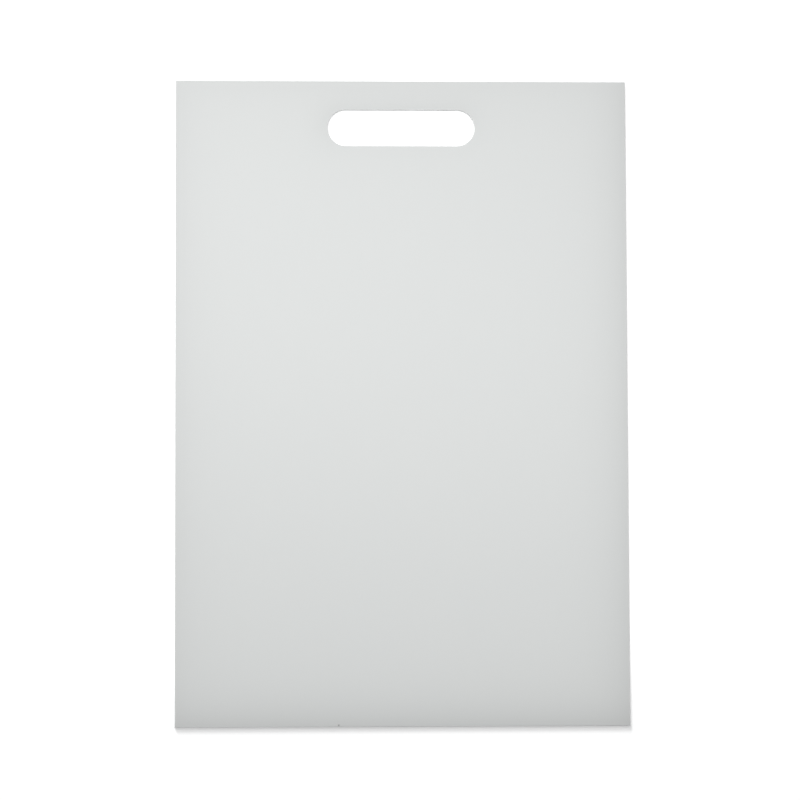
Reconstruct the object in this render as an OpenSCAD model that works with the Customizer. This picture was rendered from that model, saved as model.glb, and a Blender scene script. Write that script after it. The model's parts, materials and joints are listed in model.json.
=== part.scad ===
// Flexible cutting mat: one die-cut sheet of bendable plastic with a hanging slot.
// It lies flat, and it curls along its length into a chute for tipping food off.
// The sheet is divided along its bend lines into strips that meet face to face,
// and each bend line lies on the work face, so the strips part below as they lift.
// The mat lies in the XY plane: long side along Y, slot toward +Y, work face up.
// The origin is the centre of the underside.

/* [Sheet] */
// Length of the long edges, along Y
sheet_length = 340; // [200:1:450]
// Length of the short edges, along X
sheet_width = 238; // [190:1:330]
// Thickness of the sheet
sheet_thickness = 2; // [0.8:0.1:4]

/* [Hanging slot] */
// Length of the slot from end to end, across the sheet
slot_length = 77.5; // [35:0.5:150]
// Width of the slot, which is also the diameter of its round ends
slot_width = 19; // [8:0.5:30]
// Band of sheet left between the slot and the short edge above it
slot_margin = 15.5; // [6:0.5:40]

/* [Bend zone] */
// Distance from one bend line to the next, which is the width of a bend strip
bend_pitch = 8; // [4:0.25:10]
// Number of bend lines on each side of the middle strip
bends_per_side = 12; // [2:1:14]

/* [Hidden] */
// How far the slot's cutter runs past both faces of the sheet
cut_past = 1;
// Facets of the slot's round ends
round_facets = 64;
// Length of the slot's straight sides
slot_straight = slot_length - slot_width;
// Height of the slot's centre line on the sheet
slot_y = sheet_length / 2 - slot_margin - slot_width / 2;
// Milky white of the plastic
sheet_colour = [0.88, 0.89, 0.885];

// The sides of the sheet and the direction in which each lies
SIDES = [["left", -1], ["right", 1]];

// Distance of a bend line from the middle of the sheet, where the first is number 1
function bend_x(number) = (number - 0.5) * bend_pitch;

// Name of the strip outside a bend line: the last one is the edge that the hand grips
function strip_name(side, number) =
    number == bends_per_side ? str(side, "_grip_edge") : str(side, "_bend_strip_", number);

// The hanging slot's cutter: straight sides between two round ends
module slot_cutter() {
    translate([0, slot_y, -cut_past])
    linear_extrude(sheet_thickness + 2 * cut_past) {
        square([slot_straight, slot_width], center = true);
        for (end = [-1, 1])
            translate([end * slot_straight / 2, 0]) circle(d = slot_width, $fn = round_facets);
    }
}

// The stretch of the sheet between two distances along X, over its whole length
module stretch_of_sheet(from_x, to_x) {
    color(sheet_colour)
    difference() {
        translate([from_x, -sheet_length / 2, 0])
        cube([to_x - from_x, sheet_length, sheet_thickness]);
        slot_cutter();
    }
}

// The strip that stays flat on the worktop while both sides curl up
module middle_strip() {
    stretch_of_sheet(-bend_x(1), bend_x(1));
}

// One bend strip on the side that the direction gives, outside the bend line of that number
module bend_strip(direction, number) {
    inner_x = direction * bend_x(number);
    outer_x = direction * bend_x(number + 1);
    stretch_of_sheet(min(inner_x, outer_x), max(inner_x, outer_x));
}

// The long edge that the hand lifts, from the last bend line out to the sheet's side
module grip_edge(direction) {
    inner_x = direction * bend_x(bends_per_side);
    outer_x = direction * sheet_width / 2;
    stretch_of_sheet(min(inner_x, outer_x), max(inner_x, outer_x));
}

middle_strip();
for (side = SIDES) {
    for (number = [1:bends_per_side - 1])
        bend_strip(side[1], number);
    grip_edge(side[1]);
}
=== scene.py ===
import json
import math

import bmesh
import bpy
from mathutils import Matrix, Vector

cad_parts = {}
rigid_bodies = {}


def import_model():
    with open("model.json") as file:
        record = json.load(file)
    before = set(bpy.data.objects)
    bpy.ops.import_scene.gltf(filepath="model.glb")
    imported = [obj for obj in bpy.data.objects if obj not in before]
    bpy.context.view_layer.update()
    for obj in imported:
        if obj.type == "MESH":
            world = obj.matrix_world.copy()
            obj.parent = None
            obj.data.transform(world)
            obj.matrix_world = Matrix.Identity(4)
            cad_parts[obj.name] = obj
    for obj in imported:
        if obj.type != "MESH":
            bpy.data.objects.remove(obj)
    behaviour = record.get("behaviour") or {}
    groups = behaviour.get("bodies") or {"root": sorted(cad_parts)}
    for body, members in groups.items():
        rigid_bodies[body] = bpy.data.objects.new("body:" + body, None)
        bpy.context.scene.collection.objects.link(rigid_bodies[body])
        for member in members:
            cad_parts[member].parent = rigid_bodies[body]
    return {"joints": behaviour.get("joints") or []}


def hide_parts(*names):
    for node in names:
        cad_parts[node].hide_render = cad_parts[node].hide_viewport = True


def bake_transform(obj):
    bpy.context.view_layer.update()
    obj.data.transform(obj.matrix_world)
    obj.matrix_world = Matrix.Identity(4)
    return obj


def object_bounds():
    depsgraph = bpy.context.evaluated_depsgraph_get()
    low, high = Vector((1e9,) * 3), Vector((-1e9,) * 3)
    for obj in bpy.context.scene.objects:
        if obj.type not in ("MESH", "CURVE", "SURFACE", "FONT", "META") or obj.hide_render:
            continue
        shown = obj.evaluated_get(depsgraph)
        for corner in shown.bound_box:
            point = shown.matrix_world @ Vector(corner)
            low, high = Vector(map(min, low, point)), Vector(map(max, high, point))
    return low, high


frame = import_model()
cad_low, cad_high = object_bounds()


# The mat is one sheet of milky white, bendable polyethylene, 2 mm thick, with a slot to hang it by.
# A steel rule die stamps it out of extruded sheet from the work face, which rounds the upper rim
# and leaves the lower rim nearly sharp. The whole sheet is made here, and divided further down.
SLOT_LENGTH = 0.0775
SLOT_WIDTH = 0.019
SLOT_MARGIN = 0.0155
SLOT_FACETS = 88
UPPER_RIM = 0.0002
LOWER_RIM = 0.0001
RIM_FACETS = 4
UPPER_LAND = 0.00015
LOWER_LAND = 0.00005
WINDOW_X = 0.044
WINDOW_Y = 0.0125
TINY = 1e-6

half_width = cad_high.x
half_length = cad_high.y
thickness = cad_high.z
slot_end = (SLOT_LENGTH - SLOT_WIDTH) / 2
slot_y = half_length - SLOT_MARGIN - SLOT_WIDTH / 2


def at_height(parts, height):
    """The edges or faces that lie wholly at that height."""
    return [part for part in parts if all(abs(v.co.z - height) < TINY for v in part.verts)]


def crease(part, point, facing, cut_away=False):
    """Splits the faces that a plane crosses, and can cut away what lies on the side it faces."""
    bmesh.ops.bisect_plane(
        part,
        geom=part.verts[:] + part.edges[:] + part.faces[:],
        dist=TINY,
        plane_co=point,
        plane_no=facing,
        clear_outer=cut_away,
    )


def round_off(slab, edges, radius):
    """Rounds edges off to a quarter circle of that radius."""
    bmesh.ops.bevel(
        slab,
        geom=edges,
        offset=radius,
        segments=RIM_FACETS,
        profile=0.5,
        affect="EDGES",
        material=-1,
    )


def uncut_blank():
    """The sheet before the slot: a rounded slab, with an open window on each face round the slot."""
    slab = bmesh.new()
    bmesh.ops.create_cube(slab, size=1)
    bmesh.ops.scale(slab, vec=(2 * half_width, 2 * half_length, thickness), verts=slab.verts)
    bmesh.ops.translate(slab, vec=(0, 0, thickness / 2), verts=slab.verts)
    lower = at_height(slab.edges, 0)
    round_off(slab, [edge for edge in slab.edges if edge not in lower], UPPER_RIM)
    round_off(slab, at_height(slab.edges, 0), LOWER_RIM)
    for height, land in ((thickness, UPPER_LAND), (0, LOWER_LAND)):
        flat = at_height(slab.faces, height)
        bmesh.ops.inset_region(slab, faces=flat, thickness=land, use_even_offset=True)
    for side in (-1, 1):
        crease(slab, (side * WINDOW_X, 0, 0), (1, 0, 0))
        crease(slab, (0, slot_y + side * WINDOW_Y, 0), (0, 1, 0))
    window = [
        face
        for face in at_height(slab.faces, thickness) + at_height(slab.faces, 0)
        if (face.calc_center_median().xy - Vector((0, slot_y))).length < TINY
    ]
    bmesh.ops.delete(slab, geom=window, context="FACES_ONLY")
    return slab


def slot_outline(slab, margin, height):
    """The edges of the slot's outline, wider all round by a margin, at that height."""
    half_facet = math.pi / SLOT_FACETS
    corners = bmesh.ops.create_circle(
        slab,
        segments=SLOT_FACETS,
        radius=(SLOT_WIDTH / 2 + margin) / math.cos(half_facet),
        matrix=Matrix.Rotation(half_facet, 4, "Z"),
    )["verts"]
    for side in (-1, 1):
        moved = [corner for corner in corners if corner.co.x * side > 0]
        bmesh.ops.translate(slab, vec=(side * slot_end, slot_y, height), verts=moved)
    return list(dict.fromkeys(edge for corner in corners for edge in corner.link_edges))


def cut_slot(slab):
    """The slot's wall and its rounded rims, with a narrow flat land next to each of them."""
    steps = [math.pi / 2 * step / RIM_FACETS for step in range(RIM_FACETS + 1)]
    # The lands start at a slant, because rings that lie flat can be bridged with a twist.
    profile = [(UPPER_RIM + UPPER_LAND, thickness + UPPER_LAND)]
    profile += [
        (UPPER_RIM * (1 - math.sin(turn)), thickness - UPPER_RIM * (1 - math.cos(turn)))
        for turn in steps
    ]
    profile += [
        (LOWER_RIM * (1 - math.cos(turn)), LOWER_RIM * (1 - math.sin(turn))) for turn in steps
    ]
    profile += [(LOWER_RIM + LOWER_LAND, -LOWER_LAND)]
    rings = [slot_outline(slab, margin, height) for margin, height in profile]
    for above, below in zip(rings, rings[1:]):
        bmesh.ops.bridge_loops(slab, edges=above + below)
    for ring, rise in ((rings[0], -UPPER_LAND), (rings[-1], LOWER_LAND)):
        corners = list({corner for edge in ring for corner in edge.verts})
        bmesh.ops.translate(slab, vec=(0, 0, rise), verts=corners)


def close_windows(slab):
    """The flat faces from the slot out to the windows' edges. Edges that only fill are seams."""
    crease(slab, (0, 0, 0), (1, 0, 0))
    outlined = set(slab.edges)
    for height in (thickness, 0):
        opening = [edge for edge in at_height(slab.edges, height) if edge.is_boundary]
        corners = {corner for edge in opening for corner in edge.verts}
        middle = [corner for corner in corners if abs(corner.co.x) < TINY]
        middle.sort(key=lambda corner: corner.co.y)
        links = []
        for pair in (middle[:2], middle[2:]):
            links += bmesh.ops.contextual_create(slab, geom=pair)["edges"]
        outlined.update(links)
        for side in (-1, 1):
            half = [edge for edge in opening if sum(v.co.x for v in edge.verts) * side > 0]
            flat = bmesh.ops.contextual_create(slab, geom=half + links)["faces"]
            bmesh.ops.triangulate(slab, faces=flat, ngon_method="BEAUTY")
    for edge in slab.edges:
        edge.seam = edge not in outlined
    bmesh.ops.recalc_face_normals(slab, faces=slab.faces[:])


sheet = uncut_blank()
cut_slot(sheet)
close_windows(sheet)


class Finish:
    """A value on its way through a finish. Sums, differences and products add Math nodes."""

    def __init__(self, tree, socket=None):
        self.tree = tree
        self.socket = socket

    def node(self, kind, settings, values, output=0):
        """Adds a node, with its settings first and then the values or links of its sockets."""
        added = self.tree.nodes.new(kind)
        for name, value in settings.items():
            setattr(added, name, value)
        for name, value in values.items():
            if isinstance(value, Finish):
                self.tree.links.new(value.socket, added.inputs[name])
            else:
                added.inputs[name].default_value = value
        return Finish(self.tree, added.outputs[output] if added.outputs else None)

    def math(self, operation, *values):
        return self.node("ShaderNodeMath", {"operation": operation}, dict(enumerate(values)))

    def mixed(self, first, second):
        """The first colour where this value is 0, and the second where it is 1."""
        settings = {"data_type": "RGBA", "clamp_factor": True}
        return self.node("ShaderNodeMix", settings, {0: self, 6: first, 7: second}, 2)

    def __abs__(self):
        return self.math("ABSOLUTE", self)

    def __add__(self, other):
        return self.math("ADD", self, other)

    def __radd__(self, other):
        return self.math("ADD", other, self)

    def __sub__(self, other):
        return self.math("SUBTRACT", self, other)

    def __rsub__(self, other):
        return self.math("SUBTRACT", other, self)

    def __mul__(self, other):
        return self.math("MULTIPLY", self, other)

    def __rmul__(self, other):
        return self.math("MULTIPLY", other, self)


def new_finish(owner):
    """Empties the node tree of a material or a world, and starts its own finish there."""
    owner.use_nodes = True
    owner.node_tree.nodes.clear()
    return Finish(owner.node_tree)


# The plastic is coloured in the mass, so both faces are alike: a cloudy tone, a faint draw from the
# extruder and a fine grain from its rollers. Toward the cut edges the colour is darkened as painted
# shade, standing for the light the plastic lets out there, and the surface eases down where the die
# pressed. The pattern reads the flat sheet's coordinates, and so it bends with it.
PLASTIC_PALE = (0.758, 0.772, 0.762, 1)
PLASTIC_DEEP = (0.746, 0.763, 0.757, 1)
CLOUD_SIZE = 0.06
CLOUD_SHARE = 0.6
MOTTLE_SIZE = 0.014
# Painted shade: a darker colour toward the sides, the ends and the slot, for light lost out of the
# plastic there.
PAINTED_EDGE_SHADE_COLOUR = (0.603, 0.612, 0.607, 1)
PAINTED_EDGE_SHADE = 0.472
PAINTED_EDGE_SHADE_REACH = 0.01228
PAINTED_SLOT_SHADE = 0.225
PAINTED_SLOT_SHADE_REACH = 0.0075
# The cut walls are paler: partly a fresh cut's own whiteness, partly painted light that lifts their
# shade.
PALE_CUT_AND_PAINTED_LIGHT_COLOUR = (0.87, 0.885, 0.878, 1)
CUT_REACH = 0.0002
CUT_PALE = 0.6
CUT_PALE_STREAKS = 0.6
STREAK_SIZE = (0.0004, 0.0004, 0.006)
STREAK_HEIGHT = 0.00003
SPECK_COLOUR = (0.16, 0.15, 0.14, 1)
SPECK_PLACE = (-0.0336, -0.1692)
SPECK_RADIUS = 0.00045
SPECK_DEPTH = 0.7
EASE_DROP = 0.0013
EASE_REACH = 0.0106
SLOT_EASE_DROP = 0.00038
SLOT_EASE_REACH = 0.0068
WAVE_SIZE = 0.125
WAVE_HEIGHT = 0.00011
PEEL_SIZE = 0.0021
PEEL_HEIGHT = 0.000003
GRAIN_SIZE = 0.00042
GRAIN_HEIGHT = 0.0000011
DRAW_SIZE = (0.0011, 0.25, 0.25)
DRAW_HEIGHT = 0.0000016
ROUGHNESS = 0.42
PLASTIC_IOR = 1.51
COAT = 0.14
COAT_SWING = 0.3
COAT_ROUGHNESS = 0.3
RUB_SIZE = (0.004, 0.022, 0.02)
NOISE_MIDDLE = 0.5

white_plastic = bpy.data.materials.new("white_plastic")
start = new_finish(white_plastic)

place = start.node("ShaderNodeAttribute", {"attribute_name": "flat_place"}, {}, "Vector")
across = place.node("ShaderNodeSeparateXYZ", {}, {0: place}, "X")
along = place.node("ShaderNodeSeparateXYZ", {}, {0: place}, "Y")
from_side = half_width - abs(across)
from_end = half_length - abs(along)
past_slot_end = start.math("MAXIMUM", abs(across) - slot_end, 0)
above_slot = along - slot_y
from_slot_line = start.math("SQRT", past_slot_end * past_slot_end + above_slot * above_slot)
from_slot = from_slot_line - SLOT_WIDTH / 2
from_cut = start.math("MINIMUM", start.math("MINIMUM", from_side, from_end), from_slot)


def fading(distance, reach):
    """1 at a distance of nothing, and about a third of that for each reach further away."""
    return distance.math("EXPONENT", distance * (-1 / reach))


def either(first, second):
    """The share that two shares between 0 and 1 cover together."""
    return first + second - first * second


def blotches(size, detail):
    """Noise between 0 and 1 whose blotches are about that size, which may differ by direction."""
    sizes = size if isinstance(size, tuple) else (size, size, size)
    stretch = [1 / value for value in sizes]
    stretched = place.node(
        "ShaderNodeVectorMath", {"operation": "MULTIPLY"}, {0: place, 1: stretch}, "Vector"
    )
    return place.node("ShaderNodeTexNoise", {}, {"Vector": stretched, "Scale": 1, "Detail": detail})


tone = blotches(CLOUD_SIZE, 1) * CLOUD_SHARE + blotches(MOTTLE_SIZE, 2) * (1 - CLOUD_SHARE)
# Painted shade: the colour darkens toward the sides, the ends and the slot.
painted_edge_shade = either(fading(from_side, PAINTED_EDGE_SHADE_REACH) * PAINTED_EDGE_SHADE, fading(from_end, PAINTED_EDGE_SHADE_REACH) * PAINTED_EDGE_SHADE)
painted_edge_shade = either(painted_edge_shade, fading(from_slot, PAINTED_SLOT_SHADE_REACH) * PAINTED_SLOT_SHADE)
cut_wall = fading(from_cut, CUT_REACH)
streak = blotches(STREAK_SIZE, 1)
speck_across = across - SPECK_PLACE[0]
speck_along = along - SPECK_PLACE[1]
speck_squared = speck_across * speck_across + speck_along * speck_along
speck = fading(speck_squared, SPECK_RADIUS**2)
colour = tone.mixed(PLASTIC_DEEP, PLASTIC_PALE)
colour = painted_edge_shade.mixed(colour, PAINTED_EDGE_SHADE_COLOUR)
# Partly painted light: the cut walls and rims are made paler than their shade would show.
colour = (cut_wall * (streak * CUT_PALE_STREAKS + CUT_PALE)).mixed(colour, PALE_CUT_AND_PAINTED_LIGHT_COLOUR)
colour = (speck * SPECK_DEPTH).mixed(colour, SPECK_COLOUR)

eased = (fading(from_side, EASE_REACH) + fading(from_end, EASE_REACH)) * EASE_DROP
eased = eased + fading(from_slot, SLOT_EASE_REACH) * SLOT_EASE_DROP
height = blotches(WAVE_SIZE, 0) * WAVE_HEIGHT - eased
height = height + blotches(PEEL_SIZE, 1) * PEEL_HEIGHT
height = height + blotches(GRAIN_SIZE, 1) * GRAIN_HEIGHT
height = height + blotches(DRAW_SIZE, 1) * DRAW_HEIGHT
height = height + cut_wall * (streak * STREAK_HEIGHT)
relief = start.node("ShaderNodeBump", {}, {"Strength": 1, "Distance": 1, "Height": height})
skin = start.node(
    "ShaderNodeBsdfPrincipled",
    {},
    {
        "Base Color": colour,
        "Roughness": ROUGHNESS,
        "IOR": PLASTIC_IOR,
        "Coat Weight": (blotches(RUB_SIZE, 3) - NOISE_MIDDLE) * COAT_SWING + COAT,
        "Coat Roughness": COAT_ROUGHNESS,
        "Normal": relief,
    },
)
start.node("ShaderNodeOutputMaterial", {}, {"Surface": skin})


# The sheet is divided for its 24 bend lines, 12 on each side of the middle. Each piece is the stretch
# from the middle of one strip to the middle of the next, with the bend line between them, and ends
# where its neighbour starts.
LAST_BEND = 12
ROW = 0.0215
ROW_COUNT = 14
SHARP = math.radians(30)
LEVEL = math.radians(1)
MOST_SIDES = 4

row_ends = [slot_y - WINDOW_Y - ROW * number for number in range(1, ROW_COUNT + 1)]
bend_lines = {joint["name"]: joint["pos_m"][0] for joint in frame["joints"]}
strip_half = (bend_lines["right_bend_2"] - bend_lines["right_bend_1"]) / 2


def cut_off(part, distance, facing):
    """Cuts away what lies beyond a line across the sheet, and closes the cut."""
    crease(part, (distance, 0, 0), (facing, 0, 0), cut_away=True)
    opened = [edge for edge in part.edges if edge.is_boundary]
    bmesh.ops.holes_fill(part, edges=opened, sides=0)


for joint in frame["joints"]:
    side, number = joint["name"].split("_bend_")
    line = bend_lines[joint["name"]]
    facing = math.copysign(1, line)
    inner = line - facing * strip_half
    outer = line + facing * strip_half
    part = sheet.copy()
    cut_off(part, inner, -facing)
    if int(number) < LAST_BEND:
        cut_off(part, outer, facing)
    else:
        crease(part, (outer, 0, 0), (1, 0, 0))
    crease(part, (line, 0, 0), (1, 0, 0))
    for row_end in row_ends:
        crease(part, (0, row_end, 0), (0, 1, 0))
    filling = [edge for edge in part.edges if edge.seam]
    bmesh.ops.dissolve_edges(part, edges=filling)
    bmesh.ops.dissolve_limit(part, angle_limit=LEVEL, verts=part.verts[:], edges=[])
    many_sided = [face for face in part.faces if len(face.verts) > MOST_SIDES]
    bmesh.ops.triangulate(part, faces=many_sided, ngon_method="BEAUTY")
    for edge in part.edges:
        edge.smooth = edge.calc_face_angle() < SHARP
    for face in part.faces:
        face.smooth = True
    mesh = bpy.data.meshes.new(f"sheet_{side}_{number}")
    part.to_mesh(mesh)
    part.free()
    places = mesh.attributes.new("flat_place", "FLOAT_VECTOR", "POINT")
    places.data.foreach_set("vector", [value for corner in mesh.vertices for value in corner.co])
    mesh.materials.append(white_plastic)
    piece = bpy.data.objects.new(mesh.name, mesh)
    bpy.context.scene.collection.objects.link(piece)
    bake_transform(piece)
    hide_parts(joint["child"])
    # The middle strip has no bend line of its own, so the first piece stands for it as well.
    if joint["name"] == "left_bend_1":
        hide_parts(joint["parent"])


# The mat lies on a plain white table, which runs on out of sight into a white background. The
# camera sees the table with a glow of its own that turns it pure white. The glow is weaker below
# the mat's lower edge, where its shadow shows, and is full far off, where the lamps don't reach.
TABLE_HALF = 8
TABLE_DROP = 0.00005
TABLE_GREY = (0.8, 0.8, 0.8, 1)
TABLE_ROUGHNESS = 0.9
GLOW = 0.62
GLOW_TOP = -0.12
LOW_GLOW = 0.61
LOW_LOSS = 0.21
LOW_REACH = 0.25
LIT_RADIUS = 0.3
FAR_RADIUS = 1.2
BLACK = (0, 0, 0, 1)
WHITE = (1, 1, 1, 1)

table = bmesh.new()
bmesh.ops.create_grid(table, x_segments=1, y_segments=1, size=TABLE_HALF)
bmesh.ops.translate(table, vec=(0, 0, -TABLE_DROP), verts=table.verts)
mesh = bpy.data.meshes.new("floor")
table.to_mesh(mesh)
table.free()
floor = bpy.data.objects.new("floor", mesh)
bpy.context.scene.collection.objects.link(floor)


def seen_or_mirrored(start):
    """1 for what the camera sees directly, mirrored or through glass, and 0 for light itself."""
    direct, mirrored, through = [
        start.node("ShaderNodeLightPath", {}, {}, ray)
        for ray in ("Is Camera Ray", "Is Glossy Ray", "Is Transmission Ray")
    ]
    return start.math("MAXIMUM", start.math("MAXIMUM", direct, mirrored), through)


def rising(value, low, high):
    """0 before the first limit and 1 past the second, with a smooth rise between them."""
    limits = {"Value": value, "From Min": low, "From Max": high}
    return value.node("ShaderNodeMapRange", {"interpolation_type": "SMOOTHSTEP"}, limits)


white_table = bpy.data.materials.new("white_table")
start = new_finish(white_table)
spot = start.node("ShaderNodeTexCoord", {}, {}, "Object")
spot_x = spot.node("ShaderNodeSeparateXYZ", {}, {0: spot}, "X")
spot_y = spot.node("ShaderNodeSeparateXYZ", {}, {0: spot}, "Y")
low_glow = LOW_GLOW - LOW_LOSS * start.math("EXPONENT", (spot_y + half_length) * (1 / LOW_REACH))
near_glow = rising(spot_y, GLOW_TOP, -half_length) * (low_glow - GLOW) + GLOW
radius = start.math("SQRT", spot_x * spot_x + spot_y * spot_y)
full_glow = near_glow + rising(radius, LIT_RADIUS, FAR_RADIUS) * (1 - near_glow)
board = start.node(
    "ShaderNodeBsdfPrincipled",
    {},
    {
        "Base Color": TABLE_GREY,
        "Roughness": TABLE_ROUGHNESS,
        "Specular IOR Level": 0,
        "Emission Color": (full_glow * seen_or_mirrored(start)).mixed(BLACK, WHITE),
        "Emission Strength": 1,
    },
)
start.node("ShaderNodeOutputMaterial", {}, {"Surface": board})
mesh.materials.append(white_table)


# The studio: a broad soft key light from the upper left, of which only a small share is mirrored as
# a sheen, a long softbox over the upper half of the mat, whose light falls off toward the lower
# edge, and pale fill from all round. The camera looks down from a little below and left of the middle.
FILL_COLOUR = (0.98, 0.99, 1, 1)
FILL = 0.17
KEY_BEARING = math.radians(-19)
KEY_HEIGHT = math.radians(30)
KEY_DISTANCE = 3
KEY_SPREAD = math.radians(24)
KEY_STRENGTH = 2.408
SHEEN = 0.2
SOFTBOX_PLACE = (-0.400, 0.181, 0.450)
SOFTBOX_SIZE = (1.56, 0.23)
SOFTBOX_TURN = math.radians(-12)
SOFTBOX_STRENGTH = 2.195
CAMERA_PLACE = (-0.0716, -0.1287, 1.7469)
CAMERA_TURN = (math.radians(4.25), math.radians(-2.30), math.radians(-0.19))
CAMERA_LENS = 150

world = bpy.data.worlds.new("studio")
start = new_finish(world)
fill = start.node("ShaderNodeBackground", {}, {"Color": FILL_COLOUR, "Strength": FILL})
white = start.node("ShaderNodeBackground", {}, {"Color": WHITE, "Strength": 1})
shares = {0: seen_or_mirrored(start), 1: fill, 2: white}
backdrop = start.node("ShaderNodeMixShader", {}, shares)
start.node("ShaderNodeOutputWorld", {}, {"Surface": backdrop})
bpy.context.scene.world = world

level = math.cos(KEY_HEIGHT)
toward_key = Vector(
    (math.sin(KEY_BEARING) * level, math.cos(KEY_BEARING) * level, math.sin(KEY_HEIGHT))
)
for name, share, mirrored in (("key", 1 - SHEEN, False), ("sheen", SHEEN, True)):
    lamp = bpy.data.objects.new(name, bpy.data.lights.new(name, "SUN"))
    lamp.data.energy = KEY_STRENGTH * share
    lamp.data.angle = KEY_SPREAD
    lamp.location = toward_key * KEY_DISTANCE
    lamp.rotation_euler = toward_key.to_track_quat("Z", "Y").to_euler()
    lamp.visible_glossy = mirrored
    bpy.context.scene.collection.objects.link(lamp)

softbox = bpy.data.objects.new("softbox", bpy.data.lights.new("softbox", "AREA"))
softbox.data.shape = "RECTANGLE"
softbox.data.size, softbox.data.size_y = SOFTBOX_SIZE
softbox.data.energy = SOFTBOX_STRENGTH
softbox.location = SOFTBOX_PLACE
softbox.rotation_euler = (0, 0, SOFTBOX_TURN)
softbox.visible_camera = False
softbox.visible_glossy = False
bpy.context.scene.collection.objects.link(softbox)

camera = bpy.data.objects.new("camera", bpy.data.cameras.new("camera"))
bpy.context.scene.collection.objects.link(camera)
camera.location = CAMERA_PLACE
camera.rotation_euler = CAMERA_TURN
camera.data.lens = CAMERA_LENS
bpy.context.scene.camera = camera
bpy.context.scene.view_settings.view_transform = "Standard"


# The scene is brought up to date at the end. The sheet made here fills the CAD model's box exactly.
bpy.context.view_layer.update()
